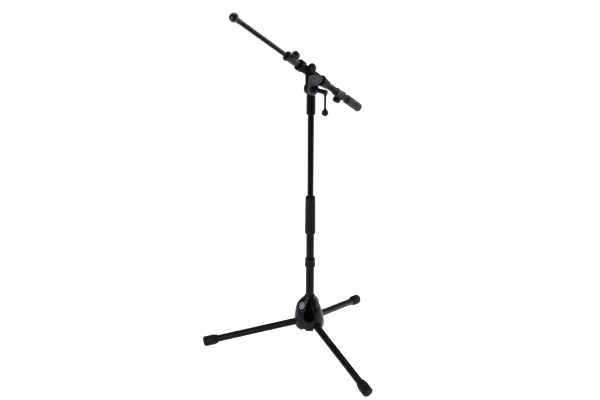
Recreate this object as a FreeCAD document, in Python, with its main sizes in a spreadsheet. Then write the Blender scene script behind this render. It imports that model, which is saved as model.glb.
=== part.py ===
import FreeCAD, Part
import math
import os
import re
import Sketcher
from FreeCAD import Placement, Rotation, Vector

# Boom microphone stand: a folding three-legged base, a two-stage pole, a tilting
# head and a telescoping boom with a counterweight.
# Origin on the pole axis at floor level, +Z up, the boom rising toward -X.

os.makedirs("parts", exist_ok=True)
doc = FreeCAD.newDocument("boom_microphone_stand")

# Every size in millimetres, angles in degrees.
SIZES = {
    # base casting
    "hub_low": 77, "hub_high": 184,
    "slot_wide": 24.6, "slot_mid_z": 94, "slot_inner": 17,
    "cap_rad": 14, "cap_thick": 7,
    "screw_rad": 3, "screw_head_rad": 5.5, "screw_head_tall": 3.5, "screw_long": 27,
    "pin_rad": 3, "pin_long": 40, "pin_out": 30, "pin_high": 93,
    "hollow_turn": -34.6, "hollow_out": 44, "hollow_low": 126, "hollow_rad": 18,
    "hollow_top_out": 21, "hollow_high": 177, "hollow_tip_rad": 2.5,
    "badge_turn": 179, "badge_out": 33.2, "badge_high": 156, "badge_tilt": 33,
    "badge_rad": 12, "badge_deep": 2.8, "badge_thick": 2.2,
    "top_screw_out": 20.5, "top_screw_high": 177, "top_screw_tilt": 50,
    "top_screw_rad": 4, "top_screw_deep": 2.2,
    # legs, measured along the leg from the hinge pin
    "leg_first": 18.6, "leg_slope": 14.3, "leg_rad": 11.4, "leg_bore": 9.9,
    "leg_start": 20, "leg_end": 302, "knuckle_plug": 22, "pin_gap": 0.03,
    "foot_rad": 16.75, "foot_neck_rad": 13.4, "foot_from": 274, "foot_flare": 288,
    "foot_end": 321, "foot_round": 5, "foot_lip": 1.2,
    # lower pole
    "base_rad": 13.5, "base_bore": 12, "base_from": 84, "base_to": 300, "plug_long": 20,
    "ring_from": 285, "ring_to": 312, "ring_rad_low": 17, "ring_rad_high": 15.5,
    "mid_rad": 12.6, "mid_bore": 11.1, "mid_to": 440, "coupler_long": 30, "coupler_bore": 10,
    # height clutch
    "core_from": 426, "core_to": 505, "core_rad": 13.8, "core_bore": 9.7,
    "grip_from": 395, "grip_to": 505.6, "grip_rad_low": 16.6, "grip_rad_high": 15.5,
    "grip_bore": 13.85, "grip_lip_bore": 12.9, "grip_chamfer": 2.2, "grip_top": 517,
    "grip_cap_bore": 10,
    # upper pole
    "pole_rad": 9.65, "pole_bore": 8.45, "pole_from": 318, "pole_to": 782, "bush_lip": 4,
    "bush_long": 20, "stud_rad": 4.75, "stud_high": 800,
    # head
    "socket_from": 774, "socket_to": 828, "socket_rad_low": 13.8, "socket_rad_high": 13.4,
    "socket_bore": 9.7, "socket_step": 782.3, "stud_bore": 4.8, "stud_top": 803,
    "pivot_high": 850, "ear_rad": 19.5, "ear_in": 4.3, "ear_thick": 6, "ear_neck": 15,
    "washer_rad": 15, "washer_thick": 0.3, "bolt_rad": 4, "bolt_gap": 0.05,
    "set_screw_rad": 2.5, "set_screw_long": 3.2, "set_screw_high": 790,
    # boom holder
    "boom_high": 894, "boom_rise": 34.7, "pivot_drop": 44,
    "block_rad": 19, "block_wide": 8.9, "block_from": -5.2, "cheek_thick": 7.5,
    "block_edge": 42, "lobe_thick": 11.3,
    "sleeve_rad": 13, "sleeve_bore": 10.04, "sleeve_back": -46, "sleeve_front": 40,
    "flange_rad": 16.5, "flange_to": 59, "cone_to": -78, "cone_small": 12, "cone_bore": 10.3,
    "boss_rad": 8.5, "boss_top": 13.6, "holder_knob_at": 19, "knob_turn": 48,
    # clamp lever
    "lever_from": 13, "lever_foot_rad": 11, "lever_foot_to": 22, "lever_shaft_rad": 6.8,
    "lever_shaft_to": 55.5, "lever_end_rad": 7.8, "lever_end_to": 65, "rod_rad": 3.4,
    "rod_drop": 57, "ball_rad": 10, "ball_drop": 60, "bolt_far": 10.3,
    # clamp knobs
    "knob_rad": 12.2, "knob_low": 13.9, "knob_high": 28, "knob_dome": 7, "knob_scallop": 3.6,
    "spindle_rad": 3, "spindle_gap": 0.05,
    # boom
    "boom_rad": 10, "boom_bore": 8.8, "boom_back": -153, "boom_front": 109,
    "front_from": 71, "front_step": 107.8, "front_to": 112, "front_rad": 11.6,
    "front_flange_rad": 14.5, "front_knob_at": 95,
    "rear_from": -120, "rear_to": -156, "rear_rad": 12.2, "rear_ring_from": -148.2,
    "rear_ring_rad": 13.5, "rear_knob_at": -138.5,
    "inner_rad": 6.5, "inner_bore": 5.3, "inner_back": 10, "inner_front": 312,
    "slide_gap": 0.05, "inner_bush_long": 20,
    "tip_from": 306, "tip_to": 319.7, "tip_rad": 7.1, "tip_stud_to": 331, "tip_plug": 20,
    "cap_ball_rad": 12.8, "cap_centre": 330, "cap_flat": 320, "cap_depth": 332,
    # counterweight
    "stem_front": -112, "stem_back": -186, "neck_rad": 10.5, "neck_from": -156.3,
    "weight_from": -173, "weight_to": -240, "weight_rad": 13.5, "weight_core_rad": 11.5,
    "weight_core_to": -235, "weight_round": 4,
}

sheet = doc.addObject("Spreadsheet::Sheet", "Dims")
for row, (word, number) in enumerate(SIZES.items(), 1):
    sheet.set("A%d" % row, word)
    sheet.set("B%d" % row, "%g" % number)
    sheet.setAlias("B%d" % row, word)
doc.recompute()

# The lofted sections of the base casting, each a triangle with well rounded corners:
# height, reach of a corner from the pole axis, rounding of the corners.
SECTIONS = [
    (77, 46.8, 43.3),
    (90, 49.2, 43.4),
    (110, 49.2, 39.0),
    (128, 46.9, 33.9),
    (143, 44.3, 27.5),
    (157, 38.8, 22.6),
    (168, 30.0, 20.8),
    (176, 21.5, 18.0),
    (184, 16.8, 15.0),
]
LEGS = ("a", "b", "c")
NODES = {}

X_AXIS = Vector(1, 0, 0)
Y_AXIS = Vector(0, 1, 0)
Z_AXIS = Vector(0, 0, 1)


def ref(text):
    """The sheet expression for sizes joined by plain arithmetic."""
    return re.sub(r"([a-z][a-z_]*)", r"Dims.\1", text)


def keep(node, obj):
    """Name an object as one of the parts that are exported."""
    obj.Label = node
    NODES[node] = obj
    return obj


def shifted(x, y, z):
    return Placement(Vector(x, y, z), Rotation())


def spun(axis, angle):
    return Placement(Vector(), Rotation(axis, angle))


POLE = Placement()
BOOM = shifted(0, 0, SIZES["boom_high"]) * spun(Y_AXIS, SIZES["boom_rise"] - 90)
PIVOT = shifted(0, 0, SIZES["pivot_high"])
LEVER = PIVOT * spun(X_AXIS, 90)


def leg_angle(index):
    return SIZES["leg_first"] + 120 * index


def leg_frame(index):
    pin = shifted(SIZES["pin_out"], 0, SIZES["pin_high"])
    return spun(Z_AXIS, leg_angle(index)) * pin * spun(Y_AXIS, 90 + SIZES["leg_slope"])


def knob_frame(place, up):
    """Outward from the boom: turned toward the lever side, or straight down at the rear."""
    along = BOOM * shifted(0, 0, SIZES[place])
    if up:
        return along * spun(Z_AXIS, -SIZES["knob_turn"]) * spun(Y_AXIS, 90)
    return along * spun(Y_AXIS, -90)


def plane(body, role):
    return [part for part in body.Origin.OriginFeatures if part.Role == role][0]


def sketch_on(body, name, role, height=None):
    sketch = body.newObject("Sketcher::SketchObject", name)
    sketch.AttachmentSupport = [(plane(body, role), "")]
    sketch.MapMode = "FlatFace"
    if height is not None:
        sketch.setExpression("AttachmentOffset.Base.z", ref(height))
    return sketch


def closed_outline(sketch, corners):
    """Straight lines through corners given as pairs of size expressions."""
    count = len(corners)
    start = [Vector(1 + i, (i * i) % 7 + 1, 0) for i in range(count)]
    lines = [Part.LineSegment(start[i], start[(i + 1) % count]) for i in range(count)]
    sketch.addGeometry(lines, False)
    joins = [Sketcher.Constraint("Coincident", i, 2, (i + 1) % count, 1) for i in range(count)]
    sizes = []
    for i in range(count):
        sizes.append(Sketcher.Constraint("DistanceX", -1, 1, i, 1, start[i].x))
        sizes.append(Sketcher.Constraint("DistanceY", -1, 1, i, 1, start[i].y))
    sketch.addConstraint(joins + sizes)
    for i, (across, along) in enumerate(corners):
        sketch.setExpression("Constraints[%d]" % (count + 2 * i), ref(across))
        sketch.setExpression("Constraints[%d]" % (count + 2 * i + 1), ref(along))


def circle_in(sketch, across, along, radius):
    sketch.addGeometry(Part.Circle(Vector(1, 1, 0), Z_AXIS, 5), False)
    sketch.addConstraint([
        Sketcher.Constraint("DistanceX", -1, 1, 0, 3, 1),
        Sketcher.Constraint("DistanceY", -1, 1, 0, 3, 1),
        Sketcher.Constraint("Radius", 0, 5),
    ])
    for i, text in enumerate((across, along, radius)):
        sketch.setExpression("Constraints[%d]" % i, ref(text))


def turned(name, corners, frame):
    """A body turned about its own Z axis from an outline of radius and height."""
    body = doc.addObject("PartDesign::Body", name)
    sketch = sketch_on(body, name + "_outline", "XZ_Plane")
    closed_outline(sketch, corners)
    turn = body.newObject("PartDesign::Revolution", name + "_turn")
    turn.Profile = sketch
    turn.ReferenceAxis = (sketch, ["V_Axis"])
    turn.Angle = 360
    body.Placement = frame
    doc.recompute()
    return body


def slab(name, corners, width, frame):
    """A flat piece with its outline in the frame's XZ plane, centred on that plane."""
    body = doc.addObject("PartDesign::Body", name)
    sketch = sketch_on(body, name + "_outline", "XZ_Plane")
    closed_outline(sketch, corners)
    pad = body.newObject("PartDesign::Pad", name + "_pad")
    pad.Profile = sketch
    pad.Midplane = True
    pad.setExpression("Length", ref(width))
    body.Placement = frame
    doc.recompute()
    return body


def ring_edges(shape, radius, height):
    """Names of the circular edges of that radius at that height."""
    found = []
    for i, edge in enumerate(shape.Edges, 1):
        curve = edge.Curve
        if not isinstance(curve, Part.Circle):
            continue
        if abs(curve.Radius - radius) < 1e-3 and abs(curve.Center.z - height) < 1e-3:
            found.append("Edge%d" % i)
    return found


def dress(body, kind, size, radius, height):
    """Fillet or chamfer one rim of a turned body."""
    last = body.Tip
    edges = ring_edges(last.Shape, SIZES[radius], SIZES[height])
    dressing = body.newObject("PartDesign::" + kind, body.Name + "_" + kind.lower())
    dressing.Base = (last, edges)
    dressing.setExpression("Radius" if kind == "Fillet" else "Size", ref(size))
    body.Tip = dressing
    doc.recompute()
    return body



def cylinder(name, radius, length, frame, start=0.0):
    """A plain cylinder along the frame's Z axis, beginning at start."""
    obj = doc.addObject("Part::Cylinder", name)
    obj.setExpression("Radius", ref(radius))
    obj.setExpression("Height", ref(length))
    obj.Placement = frame * shifted(0, 0, start)
    return obj


def box(name, spans, frame):
    """A block given by its three (start, length) pairs in the frame."""
    obj = doc.addObject("Part::Box", name)
    obj.Length = spans[0][1]
    obj.Width = spans[1][1]
    obj.Height = spans[2][1]
    obj.Placement = frame * shifted(spans[0][0], spans[1][0], spans[2][0])
    return obj


def fused(name, pieces):
    obj = doc.addObject("Part::MultiFuse", name)
    obj.Shapes = pieces
    doc.recompute()
    return obj


def cut(name, base, tools):
    obj = doc.addObject("Part::Cut", name)
    obj.Base = base
    obj.Tool = tools[0] if len(tools) == 1 else fused(name + "_tools", tools)
    doc.recompute()
    return obj


S = SIZES


# ---------------------------------------------------------------- base casting
def corner_outline(sketch, reach, lobe):
    """Three round corners joined by long shallow curves that meet them smoothly."""
    out = reach - lobe
    hollow = 3 * reach
    inner = math.sqrt(hollow * hollow + out * out - hollow * out) - lobe

    def at(radius, angle):
        turn = math.radians(angle)
        return Vector(radius * math.cos(turn), radius * math.sin(turn), 0)

    def touch(lobe_angle, hollow_angle):
        centre = at(out, lobe_angle)
        return centre + (at(hollow, hollow_angle) - centre).normalize() * lobe

    for i in range(3):
        turn = 120 * i
        first = touch(turn, turn - 60)
        second = touch(turn, turn + 60)
        third = touch(turn + 120, turn + 60)
        sketch.addGeometry(Part.Arc(first, at(reach, turn), second), False)
        sketch.addGeometry(Part.Arc(second, at(hollow - inner, turn + 60), third), False)
    for lobe_arc in (0, 2, 4):
        sketch.addConstraint(Sketcher.Constraint("Coincident", lobe_arc, 2, lobe_arc + 1, 2))
        after = (lobe_arc + 2) % 6
        sketch.addConstraint(Sketcher.Constraint("Coincident", lobe_arc + 1, 1, after, 1))


def hub_housing():
    body = doc.addObject("PartDesign::Body", "hub_casting")
    sections = []
    for i, (height, reach, lobe) in enumerate(SECTIONS):
        sketch = sketch_on(body, "hub_section_%d" % i, "XY_Plane")
        sketch.AttachmentOffset = shifted(0, 0, height)
        corner_outline(sketch, reach, lobe)
        sections.append(sketch)
    loft = body.newObject("PartDesign::AdditiveLoft", "hub_bell")
    loft.Profile = sections[0]
    loft.Sections = sections[1:]
    body.Tip = loft
    doc.recompute()

    bore = sketch_on(body, "hub_bore_circle", "XY_Plane", "hub_high")
    circle_in(bore, "0", "0", "base_rad")
    pocket = body.newObject("PartDesign::Pocket", "hub_bore")
    pocket.Profile = bore
    pocket.Type = "ThroughAll"

    seat = sketch_on(body, "hub_cap_circle", "XY_Plane", "hub_low")
    circle_in(seat, "0", "0", "cap_rad")
    recess = body.newObject("PartDesign::Pocket", "hub_cap_seat")
    recess.Profile = seat
    recess.setExpression("Length", ref("cap_thick"))
    recess.Reversed = True

    arch = sketch_on(body, "hub_slot_arch", "YZ_Plane", "slot_inner")
    half = S["slot_wide"] / 2
    mid = S["slot_mid_z"]
    low = S["hub_low"] - 10
    arch.addGeometry(Part.Arc(Vector(half, mid, 0), Vector(0, mid + half, 0), Vector(-half, mid, 0)))
    arch.addGeometry(Part.LineSegment(Vector(-half, mid, 0), Vector(-half, low, 0)))
    arch.addGeometry(Part.LineSegment(Vector(-half, low, 0), Vector(half, low, 0)))
    arch.addGeometry(Part.LineSegment(Vector(half, low, 0), Vector(half, mid, 0)))
    arch.addConstraint([
        Sketcher.Constraint("Coincident", 0, 2, 1, 1),
        Sketcher.Constraint("Coincident", 1, 2, 2, 1),
        Sketcher.Constraint("Coincident", 2, 2, 3, 1),
        Sketcher.Constraint("Coincident", 3, 2, 0, 1),
        Sketcher.Constraint("Vertical", 1),
        Sketcher.Constraint("Horizontal", 2),
        Sketcher.Constraint("Vertical", 3),
        Sketcher.Constraint("PointOnObject", 0, 3, -2),
        Sketcher.Constraint("Horizontal", 0, 1, 0, 2),
        Sketcher.Constraint("Horizontal", 0, 1, 0, 3),
        Sketcher.Constraint("DistanceY", -1, 1, 0, 3, mid),
        Sketcher.Constraint("Radius", 0, half),
        Sketcher.Constraint("DistanceY", -1, 1, 2, 1, low),
    ])
    arch.setExpression("Constraints[10]", ref("slot_mid_z"))
    arch.setExpression("Constraints[11]", ref("slot_wide/2"))
    arch.setExpression("Constraints[12]", ref("hub_low-10"))
    slot = body.newObject("PartDesign::Pocket", "hub_slot")
    slot.Profile = arch
    slot.Length = 60
    slot.Reversed = True

    pins = sketch_on(body, "hub_pin_circle", "XZ_Plane")
    circle_in(pins, "pin_out", "pin_high", "pin_rad")
    pin_hole = body.newObject("PartDesign::Pocket", "hub_pin_hole")
    pin_hole.Profile = pins
    pin_hole.Midplane = True
    pin_hole.setExpression("Length", ref("pin_long"))

    rim = sketch_on(body, "hub_rim_notch", "XY_Plane", "hub_low")
    closed_outline(rim, [("0-52", "0-8"), ("0-38", "0-8"), ("0-38", "1"), ("0-52", "1")])
    notch = body.newObject("PartDesign::Pocket", "hub_notch")
    notch.Profile = rim
    notch.Length = 8
    notch.Reversed = True

    pattern = body.newObject("PartDesign::PolarPattern", "hub_thirds")
    pattern.Originals = [slot, pin_hole, notch]
    pattern.Axis = (plane(body, "Z_Axis"), [""])
    pattern.Angle = 360
    pattern.Occurrences = 3
    body.Tip = pattern
    body.Placement = spun(Z_AXIS, S["leg_first"])
    doc.recompute()
    return body


def on_hub(angle, radius, height, tilt):
    """A frame on the casting whose Z axis leaves it outward and upward."""
    place = shifted(radius, 0, height) * spun(Y_AXIS, 90 - tilt)
    return spun(Z_AXIS, angle) * place


def hub_hollows():
    """The tapering hollow beside each leg, rounded at its lower end."""
    low = Vector(S["hollow_out"], 0, S["hollow_low"])
    high = Vector(S["hollow_top_out"], 0, S["hollow_high"])
    lean = math.degrees(math.atan2(high.x - low.x, high.z - low.z))
    tools = []
    for i in range(3):
        frame = (spun(Z_AXIS, leg_angle(i) + S["hollow_turn"])
                 * Placement(low, Rotation(Y_AXIS, lean)))
        taper = doc.addObject("Part::Cone", "hollow_taper_%d" % i)
        taper.setExpression("Radius1", ref("hollow_rad"))
        taper.setExpression("Radius2", ref("hollow_tip_rad"))
        taper.Height = (high - low).Length
        taper.Placement = frame
        end = doc.addObject("Part::Sphere", "hollow_end_%d" % i)
        end.setExpression("Radius", ref("hollow_rad"))
        end.Placement = frame
        tools += [taper, end]
    return tools


def base_parts():
    casting = hub_housing()
    badge = on_hub(S["badge_turn"], S["badge_out"], S["badge_high"], S["badge_tilt"])
    badge_seat = cylinder("badge_seat", "badge_rad", "20", badge, -S["badge_deep"])
    screw = on_hub(S["badge_turn"], S["top_screw_out"], S["top_screw_high"], S["top_screw_tilt"])
    screw_seat = cylinder("top_screw_seat", "top_screw_rad", "20", screw, -S["top_screw_deep"])
    keep("hub_housing", cut("hub_housing", casting, hub_hollows() + [badge_seat, screw_seat]))
    keep("hub_badge", cylinder("hub_badge", "badge_rad", "badge_thick", badge, -S["badge_deep"]))
    keep("hub_top_screw", cylinder("hub_top_screw", "top_screw_rad", "top_screw_deep+0.8", screw,
                                   -S["top_screw_deep"]))
    keep("hub_cap", turned("hub_cap", [
        ("screw_rad", "hub_low"), ("cap_rad", "hub_low"),
        ("cap_rad", "hub_low+cap_thick"), ("screw_rad", "hub_low+cap_thick")], POLE))
    keep("hub_screw", turned("hub_screw", [
        ("0", "hub_low-screw_head_tall"), ("screw_head_rad", "hub_low-screw_head_tall"),
        ("screw_head_rad", "hub_low"), ("screw_rad", "hub_low"),
        ("screw_rad", "hub_low+screw_long"), ("0", "hub_low+screw_long")], POLE))
    keep("tube_plug", turned("tube_plug", [
        ("screw_rad", "base_from"), ("base_bore", "base_from"),
        ("base_bore", "base_from+plug_long"), ("screw_rad", "base_from+plug_long")], POLE))
    for i, leg in enumerate(LEGS):
        frame = (spun(Z_AXIS, leg_angle(i)) * shifted(S["pin_out"], S["pin_long"] / 2, S["pin_high"])
                 * spun(X_AXIS, 90))
        keep("leg_pin_" + leg, cylinder("leg_pin_" + leg, "pin_rad", "pin_long", frame))
    keep("tube_base", turned("tube_base", [
        ("base_bore", "base_from"), ("base_rad", "base_from"),
        ("base_rad", "base_to"), ("base_bore", "base_to")], POLE))
    collar = turned("ring_collar", [
        ("base_rad", "ring_from"), ("ring_rad_low", "ring_from"),
        ("ring_rad_high", "ring_to"), ("mid_rad", "ring_to"),
        ("mid_rad", "base_to"), ("base_rad", "base_to")], POLE)
    dress(collar, "Fillet", "1.2", "ring_rad_high", "ring_to")
    keep("ring_collar", collar)
    keep("tube_mid", turned("tube_mid", [
        ("mid_bore", "base_to"), ("mid_rad", "base_to"),
        ("mid_rad", "mid_to"), ("mid_bore", "mid_to")], POLE))
    keep("tube_coupler", turned("tube_coupler", [
        ("coupler_bore", "base_to-coupler_long"), ("base_bore", "base_to-coupler_long"),
        ("base_bore", "base_to"), ("mid_bore", "base_to"),
        ("mid_bore", "base_to+coupler_long"), ("coupler_bore", "base_to+coupler_long")], POLE))
    keep("clutch_core", turned("clutch_core", [
        ("mid_rad", "core_from"), ("core_rad", "core_from"), ("core_rad", "core_to"),
        ("core_bore", "core_to"), ("core_bore", "mid_to"), ("mid_rad", "mid_to")], POLE))


# ------------------------------------------------------------------------ legs
def leg_parts(index):
    leg = LEGS[index]
    frame = leg_frame(index)
    keep("leg_tube_" + leg, turned("leg_tube_" + leg, [
        ("leg_bore", "leg_start"), ("leg_rad", "leg_start"),
        ("leg_rad", "leg_end"), ("leg_bore", "leg_end")], frame))
    ball = doc.addObject("Part::Sphere", "knuckle_ball_" + leg)
    ball.setExpression("Radius", ref("leg_rad"))
    ball.Placement = frame
    barrel = cylinder("knuckle_barrel_" + leg, "leg_rad", "leg_start", frame)
    plug = cylinder("knuckle_plug_" + leg, "leg_bore", "knuckle_plug", frame, S["leg_start"])
    side = frame * spun(X_AXIS, 90)
    hole = cylinder("knuckle_hole_" + leg, "pin_rad+pin_gap", "leg_rad*2+4", side,
                    -S["leg_rad"] - 2)
    solid = fused("knuckle_solid_" + leg, [ball, barrel, plug])
    keep("leg_knuckle_" + leg, cut("leg_knuckle_" + leg, solid, [hole]))
    foot = turned("foot_solid_" + leg, [
        ("leg_rad", "foot_from"), ("foot_neck_rad", "foot_from"),
        ("foot_rad", "foot_flare"), ("foot_rad", "foot_end"), ("0", "foot_end"),
        ("0", "leg_end"), ("leg_rad", "leg_end")], frame)
    dress(foot, "Fillet", "foot_round", "foot_rad", "foot_end")
    dress(foot, "Fillet", "foot_lip", "foot_neck_rad", "foot_from")
    floor = box("floor_" + leg, ((-500, 1000), (-500, 1000), (-30, 30)), POLE)
    keep("foot_" + leg, cut("foot_" + leg, foot, [floor]))


# ------------------------------------------------------- clutch and upper pole
def pole_parts():
    grip = turned("clutch_grip", [
        ("grip_lip_bore", "grip_from"), ("grip_rad_low", "grip_from"),
        ("grip_rad_high", "grip_to"), ("grip_bore", "grip_to"),
        ("grip_bore", "core_from-0.6"), ("grip_lip_bore", "core_from-0.6")], POLE)
    dress(grip, "Chamfer", "grip_chamfer", "grip_rad_low", "grip_from")
    keep("clutch_grip", grip)
    cap = turned("clutch_cap", [
        ("grip_cap_bore", "grip_to"), ("grip_rad_high", "grip_to"),
        ("grip_rad_high", "grip_top"), ("grip_cap_bore", "grip_top")], POLE)
    dress(cap, "Chamfer", "grip_chamfer", "grip_rad_high", "grip_top")
    keep("clutch_cap", cap)
    keep("pole_tube", turned("pole_tube", [
        ("pole_bore", "pole_from+bush_lip"), ("pole_rad", "pole_from+bush_lip"),
        ("pole_rad", "pole_to"), ("pole_bore", "pole_to")], POLE))
    keep("pole_bush", turned("pole_bush", [
        ("0", "pole_from"), ("pole_rad", "pole_from"), ("pole_rad", "pole_from+bush_lip"),
        ("pole_bore", "pole_from+bush_lip"), ("pole_bore", "pole_from+bush_long"),
        ("0", "pole_from+bush_long")], POLE))
    keep("pole_stud", turned("pole_stud", [
        ("0", "pole_to-bush_long"), ("pole_bore", "pole_to-bush_long"), ("pole_bore", "pole_to"),
        ("stud_rad", "pole_to"), ("stud_rad", "stud_high"), ("0", "stud_high")], POLE))


# ------------------------------------------------------------------------ head
def head_parts():
    socket = turned("socket", [
        ("socket_bore", "socket_from"), ("socket_rad_low", "socket_from"),
        ("socket_rad_high", "socket_to"), ("0", "socket_to"), ("0", "stud_top"),
        ("stud_bore", "stud_top"), ("stud_bore", "socket_step"),
        ("socket_bore", "socket_step")], POLE)
    dress(socket, "Fillet", "1.2", "socket_rad_high", "socket_to")
    to_back = PIVOT * spun(X_AXIS, -90)
    ear = cylinder("ear_disc", "ear_rad", "ear_thick", to_back, S["ear_in"])
    wide = S["ear_neck"]
    neck = box("ear_neck", ((-wide / 2, wide), (S["ear_in"], S["ear_thick"]), (812, 38)), POLE)
    bolt_hole = cylinder("ear_hole", "bolt_rad+bolt_gap", "30", to_back, -2)
    screw_hole = cylinder("set_screw_hole", "set_screw_rad", "20",
                          shifted(0, 0, S["set_screw_high"]) * spun(X_AXIS, 90), 9.8)
    keep("head_yoke", cut("head_yoke", fused("yoke_solid", [socket, ear, neck]),
                          [bolt_hole, screw_hole]))
    keep("head_washer", turned("head_washer", [
        ("bolt_rad+bolt_gap", "ear_in-washer_thick"), ("washer_rad", "ear_in-washer_thick"),
        ("washer_rad", "ear_in"), ("bolt_rad+bolt_gap", "ear_in")], to_back))
    keep("head_set_screw", cylinder("head_set_screw", "set_screw_rad", "set_screw_long",
                                    shifted(0, 0, S["set_screw_high"]) * spun(X_AXIS, 90), 9.8))


# ----------------------------------------------------------------- boom holder
def across(s_at, t_at, start, name, radius, length):
    """A cylinder along Y centred s_at along the boom and t_at above its axis."""
    frame = BOOM * shifted(t_at, 0, s_at) * spun(X_AXIS, -90)
    return cylinder(name, radius, length, frame, start)


def cheek(pivot_s, pivot_t):
    """The side plate: a disc round the pivot, a spine, and a thicker lobe over the sleeve."""
    face = S["block_from"]
    disc = cylinder("cheek_disc", "block_rad", "cheek_thick", PIVOT * spun(X_AXIS, 90), -face)
    spine = slab("cheek_spine", [("0-block_rad", "0"), ("14", "0"), ("6", "20"), ("6", "36"),
                                 ("0-15", "42")], "cheek_thick",
                 PIVOT * shifted(0, face - S["cheek_thick"] / 2, 0))
    lobe = slab("cheek_lobe", [("0-15", "43"), ("0-8", "44.5"), ("19", "37"), ("25", "33"),
                               ("28", "27"), ("28", "21"), ("25", "17"), ("20", "15.5"),
                               ("0-8", "15.5"), ("0-15", "22")], "lobe_thick",
                PIVOT * shifted(0, face - S["lobe_thick"] / 2, 0))
    clear = cylinder("cheek_clear", "sleeve_rad", "160", BOOM, -80)
    hole = across(pivot_s, pivot_t, -20, "cheek_hole", "bolt_rad+bolt_gap", "40")
    return cut("holder_cheek", fused("cheek_solid", [disc, spine, lobe]), [clear, hole])


def holder_parts():
    tilt = math.radians(S["boom_rise"])
    pivot_s = -S["pivot_drop"] * math.sin(tilt)
    pivot_t = -S["pivot_drop"] * math.cos(tilt)
    disc = across(pivot_s, pivot_t, S["block_from"], "block_disc", "block_rad", "block_wide")
    web = box("block_web", ((pivot_t, -pivot_t - 5), (S["block_from"], S["block_wide"]),
                            (pivot_s - 16, 32)), BOOM)
    edge = box("block_edge", ((-S["block_rad"], S["block_rad"]),
                              (S["block_from"], S["block_wide"]), (0, S["block_edge"])), PIVOT)
    sleeve = cylinder("block_sleeve", "sleeve_rad", "sleeve_front-sleeve_back", BOOM,
                      S["sleeve_back"])
    flange = turned("block_flange", [
        ("0", "sleeve_front"), ("flange_rad", "sleeve_front"),
        ("flange_rad", "flange_to"), ("0", "flange_to")], BOOM)
    dress(flange, "Fillet", "1.5", "flange_rad", "flange_to")
    dress(flange, "Fillet", "3", "flange_rad", "sleeve_front")
    up = knob_frame("holder_knob_at", True)
    boss = cylinder("block_boss", "boss_rad", "boss_top-5", up, 5)
    bore = cylinder("block_bore", "sleeve_bore", "160", BOOM, -80)
    bolt_hole = across(pivot_s, pivot_t, -20, "block_hole", "bolt_rad+bolt_gap", "40")
    knob_hole = cylinder("block_knob_hole", "spindle_rad+spindle_gap", "12", up, 8)
    solid = fused("block_solid", [disc, web, edge, sleeve, flange, boss])
    keep("holder_block", cut("holder_block", solid, [bore, bolt_hole, knob_hole]))

    keep("holder_cheek", cheek(pivot_s, pivot_t))

    cone = turned("cone_solid", [
        ("cone_bore", "cone_to"), ("cone_small", "cone_to"),
        ("flange_rad", "sleeve_back"), ("cone_bore", "sleeve_back")], BOOM)
    rivet_frame = BOOM * shifted(0, 0, -60) * spun(X_AXIS, 90)
    rivet_seat = cylinder("rivet_seat", "2.4", "10", rivet_frame, 11.6)
    keep("holder_cone", cut("holder_cone", cone, [rivet_seat]))
    keep("holder_rivet", cylinder("holder_rivet", "2.4", "3.6", rivet_frame, 11.6))


# ----------------------------------------------------------------- clamp lever
def lever_parts():
    bolt = turned("lever_bolt", [
        ("0", "0-bolt_far-4.3"), ("7", "0-bolt_far-4.3"), ("7", "0-bolt_far-0.3"),
        ("bolt_rad", "0-bolt_far-0.3"), ("bolt_rad", "30"), ("0", "30")], LEVER)
    keep("lever_bolt", bolt)
    handle = turned("lever_solid", [
        ("bolt_rad", "lever_from"), ("lever_foot_rad", "lever_from"),
        ("lever_foot_rad", "lever_foot_to"), ("lever_shaft_rad", "lever_foot_to+4"),
        ("lever_shaft_rad", "lever_shaft_to"), ("lever_end_rad", "lever_shaft_to"),
        ("lever_end_rad", "lever_end_to"), ("0", "lever_end_to"), ("0", "30"),
        ("bolt_rad", "30")], LEVER)
    dress(handle, "Fillet", "2.5", "lever_end_rad", "lever_end_to")
    along = (S["lever_shaft_to"] + S["lever_end_to"]) / 2
    down = PIVOT * shifted(0, -along, 0) * spun(X_AXIS, 180)
    seat = cylinder("rod_seat", "rod_rad", "20", down)
    keep("lever_hub", cut("lever_hub", handle, [seat]))
    keep("lever_rod", cylinder("lever_rod", "rod_rad", "rod_drop", down))
    ball = doc.addObject("Part::Sphere", "ball_solid")
    ball.setExpression("Radius", ref("ball_rad"))
    ball.Placement = down * shifted(0, 0, S["ball_drop"])
    ball_seat = cylinder("ball_seat", "rod_rad", "rod_drop", down)
    keep("lever_ball", cut("lever_ball", ball, [ball_seat]))


# ----------------------------------------------------------------- clamp knobs
def knob_parts(name, place, up, reach):
    frame = knob_frame(place, up)
    body = doc.addObject("PartDesign::Body", name + "_knob")
    sketch = sketch_on(body, name + "_knob_outline", "XZ_Plane")
    closed_outline(sketch, [
        ("spindle_rad", "knob_low"), ("knob_rad-1", "knob_low"), ("knob_rad", "knob_low+1"),
        ("knob_rad", "knob_high"), ("0", "knob_high"), ("0", "knob_high-3"),
        ("spindle_rad", "knob_high-3")])
    turn = body.newObject("PartDesign::Revolution", name + "_knob_turn")
    turn.Profile = sketch
    turn.ReferenceAxis = (sketch, ["V_Axis"])
    turn.Angle = 360
    body.Tip = turn
    doc.recompute()
    dress(body, "Fillet", "knob_dome", "knob_rad", "knob_high")
    ring = sketch_on(body, name + "_knob_scallop", "XY_Plane", "knob_high")
    circle_in(ring, "knob_rad+1.2", "0", "knob_scallop")
    scallop = body.newObject("PartDesign::Pocket", name + "_knob_cut")
    scallop.Profile = ring
    scallop.Type = "ThroughAll"
    pattern = body.newObject("PartDesign::PolarPattern", name + "_knob_grip")
    pattern.Originals = [scallop]
    pattern.Axis = (plane(body, "Z_Axis"), [""])
    pattern.Angle = 360
    pattern.Occurrences = 6
    body.Tip = pattern
    body.Placement = frame
    keep(name + "_knob", body)
    keep(name + "_spindle", cylinder(name + "_spindle", "spindle_rad", "knob_high-3-%g" % reach,
                                     frame, reach))


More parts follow.
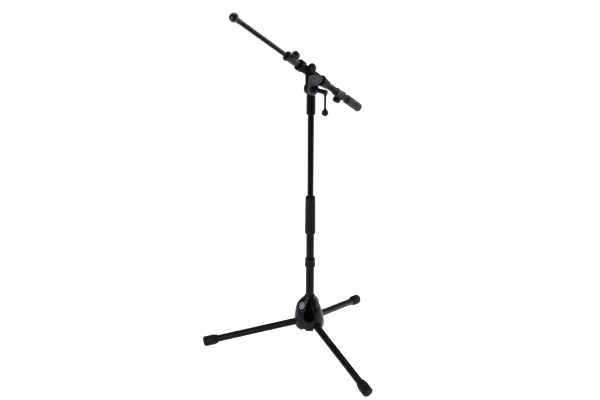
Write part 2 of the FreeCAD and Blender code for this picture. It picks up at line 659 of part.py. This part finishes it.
# ------------------------------------------------------------------------ boom
def boom_parts():
    front_up = knob_frame("front_knob_at", True)
    rear_down = knob_frame("rear_knob_at", False)
    tube = turned("boom_tube_solid", [
        ("boom_bore", "boom_back"), ("boom_rad", "boom_back"),
        ("boom_rad", "boom_front"), ("boom_bore", "boom_front")], BOOM)
    holes = [cylinder("front_hole", "spindle_rad+spindle_gap", "20", front_up),
             cylinder("rear_hole", "spindle_rad+spindle_gap", "20", rear_down)]
    keep("boom_tube", cut("boom_tube", tube, holes))

    front = turned("front_solid", [
        ("inner_rad+slide_gap", "front_from"), ("front_rad", "front_from"),
        ("front_rad", "front_step"), ("front_flange_rad-1.5", "front_step"),
        ("front_flange_rad", "front_step+1"), ("front_flange_rad", "front_to"),
        ("inner_rad+slide_gap", "front_to")], BOOM)
    dress(front, "Fillet", "1.5", "front_flange_rad", "front_to")
    boss = cylinder("front_boss", "boss_rad", "boss_top-9", front_up, 9)
    hole = cylinder("front_boss_hole", "spindle_rad+spindle_gap", "12", front_up, 8)
    bore = cylinder("front_bore", "boom_rad", "70", BOOM, S["boom_front"] - 70)
    keep("front_collar", cut("front_collar", fused("front_all", [front, boss]), [hole, bore]))

    rear = turned("rear_solid", [
        ("inner_rad+slide_gap", "rear_to"), ("rear_ring_rad", "rear_to"),
        ("rear_ring_rad", "rear_ring_from"), ("rear_rad", "rear_ring_from"),
        ("rear_rad", "rear_from"), ("inner_rad+slide_gap", "rear_from")], BOOM)
    dress(rear, "Fillet", "1.2", "rear_ring_rad", "rear_to")
    rear_boss = cylinder("rear_boss", "boss_rad", "boss_top-9", rear_down, 9)
    fairing = slab("rear_fairing", [("0", "9.3"), ("26", "9.3"), ("26", "10.8"), ("12", "13.2"),
                                    ("0", "13.2")], "11", rear_down)
    rear_hole = cylinder("rear_boss_hole", "spindle_rad+spindle_gap", "12", rear_down, 8)
    rear_bore = cylinder("rear_bore", "boom_rad", "70", BOOM, S["boom_back"])
    keep("rear_collar", cut("rear_collar", fused("rear_all", [rear, rear_boss, fairing]),
                            [rear_hole, rear_bore]))

    keep("inner_tube", turned("inner_tube", [
        ("inner_bore", "inner_back"), ("inner_rad", "inner_back"),
        ("inner_rad", "inner_front"), ("inner_bore", "inner_front")], BOOM))
    keep("inner_bush", turned("inner_bush", [
        ("inner_rad", "inner_back"), ("boom_bore-slide_gap", "inner_back"),
        ("boom_bore-slide_gap", "inner_back+inner_bush_long"),
        ("inner_rad", "inner_back+inner_bush_long")], BOOM))
    collar = turned("tip_collar", [
        ("inner_rad", "tip_from"), ("tip_rad", "tip_from"), ("tip_rad", "tip_to"),
        ("stud_rad", "tip_to"), ("stud_rad", "inner_front"), ("inner_rad", "inner_front")], BOOM)
    keep("tip_collar", collar)
    keep("tip_stud", turned("tip_stud", [
        ("0", "inner_front-tip_plug"), ("inner_bore", "inner_front-tip_plug"),
        ("inner_bore", "inner_front"), ("stud_rad", "inner_front"),
        ("stud_rad", "tip_stud_to"), ("0", "tip_stud_to")], BOOM))

    ball = doc.addObject("Part::Sphere", "cap_solid")
    ball.setExpression("Radius", ref("cap_ball_rad"))
    ball.Placement = BOOM * shifted(0, 0, S["cap_centre"])
    flat = cylinder("cap_under", "20", "20", BOOM, S["cap_flat"] - 20)
    socket = cylinder("cap_socket", "stud_bore", "cap_depth-cap_flat+1", BOOM, S["cap_flat"] - 1)
    keep("thread_cap", cut("thread_cap", ball, [flat, socket]))


def weight_parts():
    keep("weight_stem", cylinder("weight_stem", "inner_rad", "stem_front-stem_back", BOOM,
                                 S["stem_back"]))
    keep("weight_neck", turned("weight_neck", [
        ("inner_rad", "weight_from"), ("neck_rad", "weight_from"),
        ("neck_rad", "neck_from"), ("inner_rad", "neck_from")], BOOM))
    keep("weight_core", turned("weight_core", [
        ("0", "weight_core_to"), ("weight_core_rad", "weight_core_to"),
        ("weight_core_rad", "weight_from"), ("inner_rad", "weight_from"),
        ("inner_rad", "stem_back"), ("0", "stem_back")], BOOM))
    sleeve = turned("weight_sleeve", [
        ("0", "weight_to"), ("weight_rad", "weight_to"), ("weight_rad", "weight_from"),
        ("weight_core_rad", "weight_from"), ("weight_core_rad", "weight_core_to"),
        ("0", "weight_core_to")], BOOM)
    dress(sleeve, "Fillet", "weight_round", "weight_rad", "weight_to")
    dress(sleeve, "Fillet", "1", "weight_rad", "weight_from")
    keep("weight_sleeve", sleeve)


base_parts()
for index in range(3):
    leg_parts(index)
pole_parts()
head_parts()
holder_parts()
lever_parts()
knob_parts("holder", "holder_knob_at", True, 10.3)
knob_parts("front", "front_knob_at", True, 6.8)
knob_parts("rear", "rear_knob_at", False, 6.8)
boom_parts()
weight_parts()

doc.recompute()
broken = [obj.Name for obj in doc.Objects if "Invalid" in obj.State or "Error" in obj.State]
if broken:
    raise RuntimeError("did not build: " + ", ".join(broken))
for node, obj in NODES.items():
    if obj.Shape.isNull() or not obj.Shape.isValid():
        raise RuntimeError("bad shape: " + node)
    obj.Shape.exportStep("parts/" + node + ".step")
print(len(NODES), "parts")
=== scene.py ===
import math

import bmesh
import bpy
from mathutils import Matrix, Vector


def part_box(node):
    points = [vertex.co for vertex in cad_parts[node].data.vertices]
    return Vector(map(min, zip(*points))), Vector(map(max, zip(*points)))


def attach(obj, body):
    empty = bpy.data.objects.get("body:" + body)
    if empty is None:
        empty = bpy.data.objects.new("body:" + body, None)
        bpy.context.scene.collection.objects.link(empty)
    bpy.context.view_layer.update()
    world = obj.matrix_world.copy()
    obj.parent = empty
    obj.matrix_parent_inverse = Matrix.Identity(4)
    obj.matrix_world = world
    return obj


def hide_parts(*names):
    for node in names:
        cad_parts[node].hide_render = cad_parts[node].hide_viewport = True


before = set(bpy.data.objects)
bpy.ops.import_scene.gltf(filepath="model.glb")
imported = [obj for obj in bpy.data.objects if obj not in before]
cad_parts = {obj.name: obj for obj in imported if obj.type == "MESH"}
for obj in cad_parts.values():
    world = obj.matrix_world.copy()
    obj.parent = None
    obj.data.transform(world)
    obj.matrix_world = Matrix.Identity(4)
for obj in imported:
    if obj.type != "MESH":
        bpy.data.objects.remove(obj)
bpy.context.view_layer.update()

# ------------------------------------------------------------------ places
# The boom rises toward -X at this angle; UP stands square to it.
RISE = math.radians(34.7)
BOOM_START = Vector((0, 0, 0.894))
ALONG = Vector((-math.cos(RISE), 0, math.sin(RISE)))
UP = Vector((math.sin(RISE), 0, math.cos(RISE)))
PIVOT = Vector((0, 0, 0.850))
LEG_ANGLES = {"a": 18.6, "b": 138.6, "c": 258.6}
LEG_SLOPE = math.radians(14.3)
KNOB_TURN = math.radians(48)
PIN_OUT = 0.030
PIN_HIGH = 0.093
# Badge and top screw share one turn about the pole and have their own tilt.
BADGE_TURN = math.radians(179)
BADGE_TILT = math.radians(33)
TOP_SCREW_TILT = math.radians(50)
# The hollow beside each leg, where shade is painted: its turn from the leg, then millimetres
# before that turn.
HOLLOW_TURN = -34.6
HOLLOW_LOW = (44, 0, 126)
HOLLOW_HIGH = (21, 0, 177)
HOLLOW_RADIUS = (18, 2.5)
HOLLOW_RIM = 0.4


def mm(value):
    return value / 1000.0


def boom_point(s, y=0.0):
    """A point s mm along the boom and y mm beside its axis."""
    return BOOM_START + ALONG * mm(s) + Vector((0, mm(y), 0))


def frame_at(place, direction, side=None):
    """A matrix at place whose Z axis is direction."""
    z = direction.normalized()
    hint = side or (Vector((0, 1, 0)) if abs(z.y) < 0.9 else Vector((1, 0, 0)))
    x = hint.cross(z).normalized()
    y = z.cross(x)
    turn = Matrix((x, y, z)).transposed().to_4x4()
    return Matrix.Translation(place) @ turn


def slanted(turn, tilt):
    """A direction turned about the pole and tilted up from level."""
    return Vector((math.cos(tilt) * math.cos(turn), math.cos(tilt) * math.sin(turn),
                   math.sin(tilt)))


def leg_line(leg):
    """The leg's hinge point and its direction toward the foot."""
    angle = math.radians(LEG_ANGLES[leg])
    out = Vector((math.cos(angle), math.sin(angle), 0))
    down = Vector((0, 0, -1))
    direction = out * math.cos(LEG_SLOPE) + down * math.sin(LEG_SLOPE)
    return out * PIN_OUT + Vector((0, 0, PIN_HIGH)), direction


# --------------------------------------------------------------- materials
# The middle range of a noise, over which colour and roughness drift.
NOISE_LOW = 0.3
NOISE_HIGH = 0.7
PAINT_TINT = (0.90, 0.89, 1.0, 1)


def shader_of(name):
    material = bpy.data.materials.new(name)
    material.use_nodes = True
    tree = material.node_tree
    return material, tree, tree.nodes["Principled BSDF"]


def grain(tree, size, detail=3.0):
    """Noise over the object's own coordinates; size is the grain in millimetres."""
    place = tree.nodes.new("ShaderNodeTexCoord")
    noise = tree.nodes.new("ShaderNodeTexNoise")
    noise.inputs["Scale"].default_value = 1000.0 / size
    noise.inputs["Detail"].default_value = detail
    tree.links.new(place.outputs["Object"], noise.inputs["Vector"])
    return noise.outputs["Fac"]


def spread(tree, factor, dark, light):
    """A colour ramp over the noise's middle range."""
    ramp = tree.nodes.new("ShaderNodeValToRGB")
    stops = ((NOISE_LOW, dark), (NOISE_HIGH, light))
    for element, (position, colour) in zip(ramp.color_ramp.elements, stops):
        element.position = position
        element.color = (*colour, 1)
    tree.links.new(factor, ramp.inputs["Fac"])
    return ramp.outputs["Color"]


def levels(tree, factor, low, high):
    """The noise's middle range stretched to run from low to high."""
    span = tree.nodes.new("ShaderNodeMapRange")
    span.inputs["From Min"].default_value = NOISE_LOW
    span.inputs["From Max"].default_value = NOISE_HIGH
    span.inputs["To Min"].default_value = low
    span.inputs["To Max"].default_value = high
    tree.links.new(factor, span.inputs["Value"])
    return span.outputs["Result"]


def bumps(tree, shader, factor, height_mm, strength):
    bump = tree.nodes.new("ShaderNodeBump")
    bump.inputs["Distance"].default_value = mm(height_mm)
    bump.inputs["Strength"].default_value = strength
    tree.links.new(factor, bump.inputs["Height"])
    tree.links.new(bump.outputs["Normal"], shader.inputs["Normal"])


def surface(name, dark, light, rough, patch, fine, height, strength, **fixed):
    """A surface whose colour and roughness drift over patches, with a fine grain.

    patch, fine and height are in millimetres; fixed are constants on the shader's sockets.
    """
    material, tree, shader = shader_of(name)
    broad = grain(tree, patch, 4.0)
    small = grain(tree, fine, 2.0)
    tree.links.new(spread(tree, broad, dark, light), shader.inputs["Base Color"])
    tree.links.new(levels(tree, broad, *rough), shader.inputs["Roughness"])
    bumps(tree, shader, small, height, strength)
    shader.inputs["Specular Tint"].default_value = PAINT_TINT
    for socket, value in fixed.items():
        shader.inputs[socket.replace("_", " ")].default_value = value
    return material


def grey(value):
    """A grey with the slight blue of the paint."""
    return (value, value * 0.98, value * 1.15)


MATERIALS = {
    "tube": surface("tube_enamel", grey(0.0022), grey(0.0038), (0.30, 0.38), 26, 0.8, 0.01, 0.0,
                    Specular_IOR_Level=0.07),
    "casting": surface("cast_enamel", grey(0.0020), grey(0.0034), (0.24, 0.34), 14, 0.9, 0.02, 0.1,
                       Specular_IOR_Level=0.11),
    "block": surface("block_enamel", grey(0.0012), grey(0.0022), (0.3, 0.42), 12, 0.6, 0.03, 0.1,
                     Specular_IOR_Level=0.03),
    # Painted shade: near-black and matt, laid on the hub's hollows in place of the shade inside
    # them.
    "recess": surface("hollow_painted_shade", grey(0.0008), grey(0.0014), (0.7, 0.85), 12, 0.9, 0.02, 0.1,
                      Specular_IOR_Level=0.0),
    "cheek": surface("cheek_paint", grey(0.026), grey(0.034), (0.42, 0.52), 9, 0.5, 0.03, 0.2,
                     Specular_IOR_Level=0.15),
    "plastic": surface("moulded_black", grey(0.0026), grey(0.0044), (0.4, 0.52), 11, 0.4, 0.03,
                       0.2, Specular_IOR_Level=0.09),
    "knob": surface("knob_black", grey(0.0022), grey(0.0040), (0.36, 0.46), 8, 0.4, 0.02, 0.15,
                    Specular_IOR_Level=0.12),
    "grip": surface("grip_black", grey(0.0040), grey(0.0065), (0.5, 0.62), 12, 0.45, 0.05, 0.2,
                    Specular_IOR_Level=0.08),
    "sleeve": surface("sleeve_satin", grey(0.015), grey(0.020), (0.36, 0.46), 12, 0.4, 0.02, 0.1,
                      Specular_IOR_Level=0.15),
    "rubber": surface("foot_rubber", grey(0.0030), grey(0.0050), (0.55, 0.7), 9, 0.6, 0.05, 0.3,
                      Specular_IOR_Level=0.08),
    "weight": surface("weight_rubber", grey(0.017), grey(0.023), (0.5, 0.62), 12, 0.5, 0.05, 0.3,
                      Specular_IOR_Level=0.12),
    "gloss": surface("cap_gloss", grey(0.0030), grey(0.0045), (0.32, 0.38), 10, 1.2, 0.01, 0.0,
                     Specular_IOR_Level=0.25),
    "badge": surface("badge_print", grey(0.35), grey(0.45), (0.38, 0.5), 5, 0.5, 0.01, 0.2),
    # The badge's dark rim; also laid on screw heads as painted shade for their hex sockets.
    "badge_rim": surface("badge_rim", grey(0.002), grey(0.004), (0.3, 0.4), 5, 0.5, 0.01, 0.1,
                         Specular_IOR_Level=0.12),
    "steel": surface("plated_steel", grey(0.42), grey(0.55), (0.2, 0.34), 4, 0.4, 0.01, 0.2,
                     Metallic=1.0),
    "black_steel": surface("blackened_steel", grey(0.014), grey(0.024), (0.34, 0.46), 4, 0.4, 0.01,
                           0.0, Metallic=1.0),
}

FINISH = {
    "tube": ["tube_base", "tube_mid", "pole_tube", "boom_tube", "inner_tube", "leg_tube_a",
             "leg_tube_b", "leg_tube_c", "lever_rod"],
    "casting": ["hub_housing", "head_yoke", "lever_hub"],
    "block": ["holder_block"],
    "cheek": ["holder_cheek"],
    "plastic": ["hub_cap", "tube_plug", "ring_collar", "tube_coupler", "clutch_core",
                "clutch_cap", "leg_knuckle_a", "leg_knuckle_b", "leg_knuckle_c", "pole_bush",
                "head_washer", "holder_cone", "inner_bush", "weight_neck"],
    "sleeve": ["front_collar", "rear_collar"],
    "knob": ["holder_knob", "front_knob", "rear_knob", "lever_ball"],
    "grip": ["clutch_grip"],
    "rubber": ["foot_a", "foot_b", "foot_c"],
    "weight": ["weight_sleeve"],
    "gloss": ["thread_cap"],
    "badge_rim": ["hub_badge"],
    "steel": ["hub_screw", "leg_pin_a", "leg_pin_b", "leg_pin_c", "pole_stud",
              "lever_bolt", "holder_spindle", "front_spindle", "rear_spindle", "tip_stud",
              "weight_stem", "weight_core"],
    "black_steel": ["hub_top_screw", "head_set_screw", "holder_rivet", "tip_collar"],
}


def finish_nodes():
    for key, names in FINISH.items():
        for name in names:
            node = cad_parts[name]
            node.data.materials.clear()
            node.data.materials.append(MATERIALS[key])


# ---------------------------------------------------------- making pieces
TURN_STEPS = 48
BEVEL_LIMIT = math.radians(35)


def new_piece(name, mesh, key, body):
    mesh.materials.clear()
    mesh.materials.append(MATERIALS[key])
    piece = bpy.data.objects.new(name, mesh)
    bpy.context.scene.collection.objects.link(piece)
    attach(piece, body)
    return piece


def soften(piece, width_mm):
    """Rounds the piece's edges."""
    bevel = piece.modifiers.new("edge", "BEVEL")
    bevel.width = mm(width_mm)
    bevel.segments = 2
    bevel.limit_method = "ANGLE"
    bevel.angle_limit = BEVEL_LIMIT


def row_of(shape, radius, height, steps):
    """One row of points around the Z axis, in millimetres."""
    row = []
    for index in range(steps):
        angle = 2 * math.pi * index / steps
        row.append(shape.verts.new((mm(radius) * math.cos(angle),
                                    mm(radius) * math.sin(angle), mm(height))))
    return row


def join_rows(shape, low, high):
    """A band of four-cornered faces between two rows of points."""
    steps = len(low)
    for index in range(steps):
        after = (index + 1) % steps
        shape.faces.new([low[index], low[after], high[after], high[index]])


def mesh_from(shape, name, smooth):
    """The finished mesh of a shape, with its normals outward."""
    bmesh.ops.recalc_face_normals(shape, faces=shape.faces)
    for face in shape.faces:
        face.smooth = smooth
    mesh = bpy.data.meshes.new(name)
    shape.to_mesh(mesh)
    shape.free()
    return mesh


def sharpen(piece, angle):
    """Keeps edges steeper than the angle crisp on a smooth-shaded mesh."""
    mesh = piece.data
    limit = math.radians(angle)
    shape = bmesh.new()
    shape.from_mesh(mesh)
    for edge in shape.edges:
        edge.smooth = edge.calc_face_angle(0.0) < limit
    shape.to_mesh(mesh)
    shape.free()


def bars(name, outline, depth_mm, places, key, body, round_mm):
    """Copies of one flat outline (x, y in mm), each depth_mm thick, in one piece."""
    shape = bmesh.new()
    for place in places:
        base = []
        top = []
        for x, y in outline:
            base.append(shape.verts.new(place @ Vector((mm(x), mm(y), 0))))
            top.append(shape.verts.new(place @ Vector((mm(x), mm(y), mm(depth_mm)))))
        count = len(outline)
        shape.faces.new(list(reversed(base)))
        shape.faces.new(top)
        for index in range(count):
            after = (index + 1) % count
            shape.faces.new([base[index], base[after], top[after], top[index]])
    piece = new_piece(name, mesh_from(shape, name, False), key, body)
    if round_mm:
        soften(piece, round_mm)


finish_nodes()


# ------------------------------------------------------------- soft casting
def remeshed(name, node, voxel_mm, rounds, key, body):
    """The node's shape with its ridges rounded the way a casting comes out of its mould."""
    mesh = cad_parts[node].data.copy()
    work = bpy.data.objects.new(name + "_work", mesh)
    bpy.context.scene.collection.objects.link(work)
    grid = work.modifiers.new("grid", "REMESH")
    grid.mode = "VOXEL"
    grid.voxel_size = mm(voxel_mm)
    grid.use_smooth_shade = True
    smooth = work.modifiers.new("smooth", "SMOOTH")
    smooth.factor = 0.5
    smooth.iterations = rounds
    graph = bpy.context.evaluated_depsgraph_get()
    done = bpy.data.meshes.new_from_object(work.evaluated_get(graph))
    done.name = name
    bpy.data.objects.remove(work)
    piece = new_piece(name, done, key, body)
    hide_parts(node)
    return piece


def hollow_depth(point, turn):
    """How far the point lies inside the hollow beside the leg at this turn, in millimetres."""
    spin = Matrix.Rotation(math.radians(turn + HOLLOW_TURN), 3, "Z")
    low = spin @ Vector(HOLLOW_LOW)
    high = spin @ Vector(HOLLOW_HIGH)
    line = high - low
    along = max(0.0, min(1.0, (point - low).dot(line) / line.length_squared))
    wide, narrow = HOLLOW_RADIUS
    radius = wide + (narrow - wide) * along
    beside = radius - (point - low - line * along).length
    return max(beside, wide - (point - low).length)


def paint_hollow_shade(piece):
    """Paints shade into the casting's hollows: faces inside them get a near-black matt surface
    that stands in for the shade there.
    """
    piece.data.materials.append(MATERIALS["recess"])
    for face in piece.data.polygons:
        centre = face.center * 1000
        depth = max(hollow_depth(centre, turn) for turn in LEG_ANGLES.values())
        if depth > -HOLLOW_RIM:
            face.material_index = 1


# The hub casting, with painted shade in its hollows.
paint_hollow_shade(remeshed("hub_casting", "hub_housing", 0.9, 7, "casting", "stand_base"))
remeshed("holder_side", "holder_cheek", 0.6, 6, "cheek", "boom_holder")


# ------------------------------------------------------ small turned details
def ring(name, place, inner, outer, low, high, key, body, round_mm):
    """A ring with rounded outer corners, low to high along place's Z axis."""
    soft = min(round_mm, (high - low) / 2.2, outer - inner)
    cut = soft * 0.3
    profile = [(inner, low), (outer - soft, low), (outer - cut, low + cut),
               (outer, low + soft), (outer, high - soft), (outer - cut, high - cut),
               (outer - soft, high), (inner, high)]
    shape = bmesh.new()
    rows = [row_of(shape, radius, height, TURN_STEPS) for radius, height in profile]
    for lower, upper in zip(rows, rows[1:] + rows[:1]):
        join_rows(shape, lower, upper)
    mesh = mesh_from(shape, name, True)
    mesh.transform(place)
    sharpen(new_piece(name, mesh, key, body), 32)


BOOM_LINE = frame_at(BOOM_START, ALONG)
POLE_LINE = Matrix.Identity(4)


def hex_socket_shade(name, place, across, body, depth):
    """A thin near-black hexagon raised on a screw head: painted shade standing in for the hollow
    of its hex socket.
    """
    points = []
    for index in range(6):
        angle = math.pi / 3 * index
        points.append((across / 2 * math.cos(angle), across / 2 * math.sin(angle)))
    bars(name, points, depth, [place], "badge_rim", body, 0)


def pole_rings():
    ring("collar_lip", POLE_LINE, 15.2, 16.1, 306.0, 309.5, "plastic", "stand_base",
         0.8)
    ring("collar_foot", POLE_LINE, 16.2, 17.35, 286.0, 290.5, "plastic", "stand_base",
         1.0)
    ring("grip_foot_ring", POLE_LINE, 15.4, 16.85, 399.5, 402.5, "grip", "height_clutch",
         0.6)
    ring("grip_top_ring", POLE_LINE, 14.1, 15.9, 503.4, 507.2, "knob", "height_clutch",
         0.8)
    ring("pole_wiper", POLE_LINE, 9.72, 11.5, 516.6, 518.4, "rubber", "height_clutch",
         0.6)
    ring("socket_lip", POLE_LINE, 12.9, 14.1, 774.2, 777.6, "casting", "head", 0.8)


def grip_ribs():
    """Narrow ribs down the height clutch, each a long rounded bar."""
    places = []
    count = 30
    for index in range(count):
        angle = 2 * math.pi * index / count
        out = Vector((math.cos(angle), math.sin(angle), 0))
        foot = out * mm(16.25) + Vector((0, 0, mm(404)))
        head = out * mm(15.3) + Vector((0, 0, mm(501)))
        places.append(frame_at(foot, head - foot, out))
    outline = [(-0.75, -0.45), (0.75, -0.45), (0.75, 0.2), (0.4, 0.5), (-0.4, 0.5), (-0.75, 0.2)]
    bars("grip_ribs", outline, 97.0, places, "grip", "height_clutch", 0.2)


def centre_of(node):
    low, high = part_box(node)
    return (Vector(low) + Vector(high)) / 2


def screws():
    normal = slanted(BADGE_TURN, TOP_SCREW_TILT)
    top = centre_of("hub_top_screw") + normal * mm(1.4)
    # Each hex socket is painted shade: a thin dark hexagon on the head, not a hole.
    hex_socket_shade("top_screw_socket_shade", frame_at(top, normal), 4.4, "stand_base", 0.3)
    ring("top_screw_rim", frame_at(top, normal), 2.9, 4.0, 0.0, 0.55, "black_steel",
         "stand_base", 0.3)
    below = frame_at(Vector((0, 0, mm(73.5))), Vector((0, 0, -1)))
    hex_socket_shade("hub_screw_socket_shade", below, 6.0, "stand_base", 0.25)
    ring("hub_screw_rim", below, 4.2, 5.5, 0.0, 0.5, "steel", "stand_base", 0.3)
    bolt = frame_at(PIVOT + Vector((0, mm(14.6), 0)), Vector((0, 1, 0)))
    hex_socket_shade("tilt_bolt_socket_shade", bolt, 7.0, "clamp_lever", 0.25)
    ring("tilt_bolt_rim", bolt, 5.2, 7.0, 0.0, 0.7, "steel", "clamp_lever", 0.4)
    rivet = frame_at(boom_point(-60, -15.2), Vector((0, -1, 0)))
    ring("rivet_head", rivet, 0.6, 3.1, -1.2, 0.5, "black_steel", "boom_holder", 0.5)


def badge():
    """A plain round badge: a raised rim and three bars, with no name or mark on it."""
    normal = slanted(BADGE_TURN, BADGE_TILT)
    face = frame_at(centre_of("hub_badge") + normal * mm(1.1), normal, Vector((0, 0, 1)))
    ring("badge_ring", face, 8.6, 10.4, -0.3, 0.45, "badge", "stand_base", 0.3)
    thick = 0.95
    for index, (offset, half) in enumerate(((-3.6, 2.6), (0.0, 4.9), (3.6, 3.5))):
        outline = [(-half, offset - thick), (half, offset - thick), (half, offset + thick),
                   (-half, offset + thick)]
        bars("badge_bar_%d" % (index + 1), outline, 0.4, [face], "badge", "stand_base",
             0.15)


def knob_trim(name, body, s, outward):
    """The round cap set into the end of a clamp knob, and the waist ring near its foot."""
    place = frame_at(boom_point(s), outward)
    ring(name + "_cap", place, 0.8, 4.6, 27.4, 28.6, "gloss", body, 0.5)
    ring(name + "_waist", place, 5.0, 8.4, 14.1, 15.4, "plastic", body, 0.4)


def boom_trim():
    sideways = UP * math.cos(KNOB_TURN) - Vector((0, math.sin(KNOB_TURN), 0))
    knob_trim("holder_knob", "holder_clamp", 19, sideways)
    knob_trim("front_knob", "front_clamp", 95, sideways)
    knob_trim("rear_knob", "rear_clamp", -138.5, -UP)
    ring("front_lip", BOOM_LINE, 13.4, 14.9, 108.6, 110.8, "sleeve", "boom_outer",
         0.8)
    ring("front_wiper", BOOM_LINE, 6.65, 9.2, 111.6, 113.2, "rubber", "boom_outer",
         0.5)
    ring("rear_lip", BOOM_LINE, 12.6, 13.9, -154.2, -151.4, "sleeve", "boom_outer",
         0.7)
    ring("holder_lip_front", BOOM_LINE, 15.6, 17.0, 53.5, 56.5, "casting", "boom_holder",
         0.8)
    ring("holder_lip_back", BOOM_LINE, 15.4, 16.9, -49.6, -46.6, "casting", "boom_holder",
         0.8)
    ring("cone_end", BOOM_LINE, 10.5, 12.35, -78.0, -75.6, "plastic", "boom_holder",
         0.6)
    ring("weight_seam", BOOM_LINE, 13.0, 13.75, -176.4, -174.6, "knob", "counterweight",
         0.3)
    ring("weight_seam_back", BOOM_LINE, 13.0, 13.7, -233.4, -232.2, "weight", "counterweight",
         0.3)
    ring("cap_seam", BOOM_LINE, 12.5, 12.95, 329.6, 330.4, "gloss", "tip_cap",
         0.2)


def lever_trim():
    line = frame_at(PIVOT, Vector((0, -1, 0)))
    ring("lever_foot_ring", line, 10.4, 11.3, 15.0, 17.4, "casting", "clamp_lever",
         0.6)
    ring("lever_neck_ring", line, 6.5, 7.15, 51.4, 53.4, "casting", "clamp_lever",
         0.4)
    drop = frame_at(PIVOT + Vector((0, mm(-60.25), 0)), Vector((0, 0, -1)))
    ring("lever_rod_collar", drop, 3.2, 4.5, 7.4, 10.6, "casting", "clamp_lever",
         0.6)
    ring("ball_ferrule", drop, 3.3, 4.9, 47.6, 51.4, "knob", "clamp_lever", 0.7)
    ring("ball_seam", drop, 9.7, 10.15, 59.6, 60.4, "knob", "clamp_lever", 0.2)


def foot_trim():
    for leg in LEG_ANGLES:
        start, direction = leg_line(leg)
        line = frame_at(start, direction)
        body = "leg_" + leg
        ring("foot_lip_" + leg, line, 12.6, 14.2, 274.6, 278.0, "rubber", body, 0.9)
        ring("foot_bead_" + leg, line, 13.6, 14.9, 281.2, 283.2, "rubber", body, 0.7)


def stud_thread():
    """The thread on the boom's tip, cut as one helix into the stud."""
    pitch = 1.5875
    steps = 40
    rows_per_turn = 8
    start = 319.9
    length = 11.0
    core_radius = 4.1
    depth = 0.62
    count = int(length / pitch * rows_per_turn)
    shape = bmesh.new()
    rows = []
    for row in range(count + 1):
        height = start + row * pitch / rows_per_turn
        points = []
        for index in range(steps):
            angle = 2 * math.pi * index / steps
            phase = (row / rows_per_turn - index / steps) % 1.0
            radius = core_radius + depth * (1 - abs(2 * phase - 1))
            points.append(shape.verts.new((mm(radius) * math.cos(angle),
                                           mm(radius) * math.sin(angle), mm(height))))
        rows.append(points)
    for low, high in zip(rows, rows[1:]):
        join_rows(shape, low, high)
    shape.faces.new(list(reversed(rows[0])))
    shape.faces.new(rows[-1])
    mesh = mesh_from(shape, "tip_thread", True)
    mesh.transform(BOOM_LINE)
    piece = new_piece("tip_thread", mesh, "steel", "boom_inner")
    sharpen(piece, 40)
    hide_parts("tip_stud")


pole_rings()
grip_ribs()
screws()
badge()
boom_trim()
lever_trim()
foot_trim()
stud_thread()


# ------------------------------------------------------------------ camera
CAMERA_PLACE = (-1.656, -1.839, 1.465)
CAMERA_HEADING = 42.0
CAMERA_PITCH = -21.46
CAMERA_ROLL = 0.34


def make_camera():
    data = bpy.data.cameras.new("camera")
    data.sensor_width = 36.0
    data.lens = 52.56
    data.shift_x = -0.0172
    data.shift_y = 0.0065
    camera = bpy.data.objects.new("camera", data)
    bpy.context.scene.collection.objects.link(camera)
    turn = Matrix.Rotation(math.radians(-CAMERA_HEADING), 4, "Z")
    tilt = Matrix.Rotation(math.radians(90 + CAMERA_PITCH), 4, "X")
    roll = Matrix.Rotation(math.radians(CAMERA_ROLL), 4, "Z")
    camera.matrix_world = Matrix.Translation(CAMERA_PLACE) @ turn @ tilt @ roll
    bpy.context.scene.camera = camera


# ------------------------------------------------------------------ studio
# The floor stops in front of the stand, so the tubes mirror a dark room there.
FLOOR_WIDE = 12.0
FLOOR_FRONT = 0.8


def plain_floor():
    mesh = bpy.data.meshes.new("floor")
    mesh.from_pydata([(-FLOOR_WIDE, -FLOOR_FRONT, 0), (FLOOR_WIDE, -FLOOR_FRONT, 0),
                      (FLOOR_WIDE, FLOOR_WIDE, 0), (-FLOOR_WIDE, FLOOR_WIDE, 0)], [],
                     [(0, 1, 2, 3)])
    mesh.transform(Matrix.Rotation(math.radians(-CAMERA_HEADING), 4, "Z"))
    floor = bpy.data.objects.new("floor", mesh)
    bpy.context.scene.collection.objects.link(floor)
    material, tree, shader = shader_of("floor_paint")
    shade = spread(tree, grain(tree, 400), (0.93, 0.93, 0.93), (0.96, 0.96, 0.96))
    tree.links.new(shade, shader.inputs["Base Color"])
    shader.inputs["Roughness"].default_value = 0.8
    shader.inputs["Emission Color"].default_value = (1, 1, 1, 1)
    shader.inputs["Emission Strength"].default_value = 0.95
    mesh.materials.append(material)


def area_light(name, place, target, width, height, power):
    data = bpy.data.lights.new(name, "AREA")
    data.shape = "RECTANGLE"
    data.size = width
    data.size_y = height
    data.energy = power
    light = bpy.data.objects.new(name, data)
    bpy.context.scene.collection.objects.link(light)
    aim = Vector(target) - Vector(place)
    light.matrix_world = frame_at(Vector(place), -aim)


def studio():
    world = bpy.data.worlds.new("studio")
    world.use_nodes = True
    tree = world.node_tree
    sky = tree.nodes["Background"]
    sky.inputs["Color"].default_value = (1, 1, 1, 1)
    path = tree.nodes.new("ShaderNodeLightPath")
    level = tree.nodes.new("ShaderNodeMapRange")
    level.inputs["To Min"].default_value = 0.05
    level.inputs["To Max"].default_value = 1.10
    tree.links.new(path.outputs["Is Camera Ray"], level.inputs["Value"])
    tree.links.new(level.outputs["Result"], sky.inputs["Strength"])
    bpy.context.scene.world = world
    area_light("left_strip", (-2.4, -0.2, 1.2), (0, 0, 0.6), 0.8, 2.4, 70)
    area_light("right_strip", (1.9, -1.5, 1.2), (0, 0, 0.6), 0.5, 2.4, 60)
    area_light("back", (0.9, 3.2, 1.5), (0, 0, 0.3), 2.4, 0.6, 18)
    area_light("top", (0.3, 0.2, 3.0), (0, 0, 0), 1.6, 1.6, 40)


make_camera()
plain_floor()
studio()
bpy.context.scene.view_settings.view_transform = "Standard"
